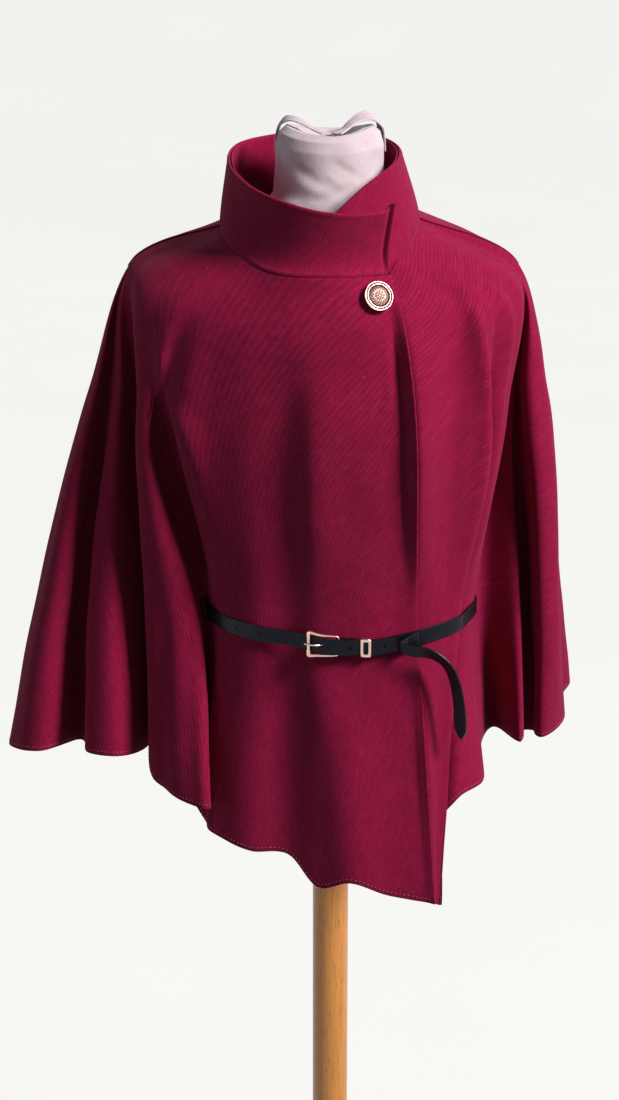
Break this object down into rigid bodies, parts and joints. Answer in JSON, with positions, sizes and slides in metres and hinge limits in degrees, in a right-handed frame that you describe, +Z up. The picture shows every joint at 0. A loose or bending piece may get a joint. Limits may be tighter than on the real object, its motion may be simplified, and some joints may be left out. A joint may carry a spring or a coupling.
{
  "type": "cape on a dress form",
  "caption": "Asymmetric wool cape with a wrapped stand collar, a shank button and a leather belt through side slits, on a limbless dress form with a round base.",
  "frame": {"origin": "centre of the round base's underside, on the pole's axis", "axes": "+Z up the pole, -Y towards the front of the cape, +X towards the wearer's left"},
  "size_m": [0.586, 0.39, 1.4443],
  "materials": {
    "wool_twill": "brushed twill, burgundy",
    "black_leather": "smooth, semi-gloss",
    "rose_gold_zinc": "plated, polished, rose gold",
    "cotton_jersey": "stretched jersey, off-white",
    "beech": "clear satin lacquer"
  },
  "bodies": {
    "root": {"cape_front_right": "wool_twill", "cape_front_left": "wool_twill", "cape_back": "wool_twill", "collar": "wool_twill", "button": "rose_gold_zinc", "belt_strap": "black_leather", "buckle_frame": "rose_gold_zinc", "buckle_prong": "rose_gold_zinc", "belt_keeper": "rose_gold_zinc", "form_body": "cotton_jersey", "neck_fold_left": "cotton_jersey", "neck_fold_right": "cotton_jersey", "stand_pole": "beech", "stand_base": "beech"}
  },
  "joints": []
}
